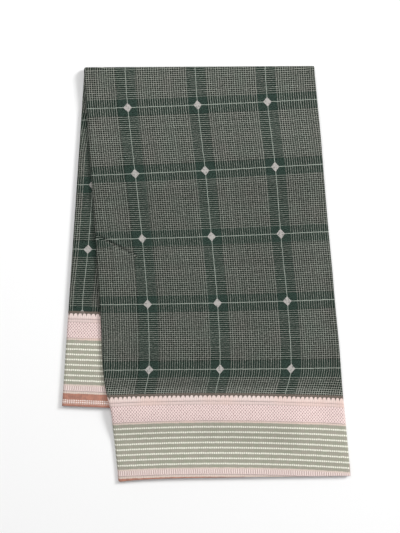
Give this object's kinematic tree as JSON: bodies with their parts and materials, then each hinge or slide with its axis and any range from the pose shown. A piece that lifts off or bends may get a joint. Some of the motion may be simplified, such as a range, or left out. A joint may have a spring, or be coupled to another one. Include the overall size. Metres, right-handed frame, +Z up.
{
  "type": "folded saree",
  "caption": "Cotton saree in a narrow stack of layers, folded over the top and laid flat, with checked cloth and a wide woven border along each hem.",
  "frame": {"origin": "middle of the bounding box of the folded saree, on the floor under it", "axes": "+Y from the hems to the top fold, +Z up off the floor out of the front half, +X to the right as seen from above with the top fold at the top"},
  "size_m": [0.433, 0.6258, 0.0134],
  "materials": {
    "field_cloth": "woven cotton, dark green with a fine light check",
    "border_cloth": "woven cotton, pink mesh and sage band with cream lines",
    "selvedge_cloth": "woven cotton, terracotta"
  },
  "bodies": {
    "root": {"front_field": "field_cloth", "front_border": "border_cloth", "front_selvedge": "selvedge_cloth", "top_fold": "field_cloth", "front_layers": "field_cloth", "inner_field": "field_cloth", "inner_border": "border_cloth", "inner_selvedge": "selvedge_cloth", "under_selvedge": "selvedge_cloth", "under_border": "border_cloth", "under_field": "field_cloth", "back_layers": "field_cloth", "back_selvedge": "selvedge_cloth", "back_border": "border_cloth", "back_field": "field_cloth"}
  },
  "joints": []
}
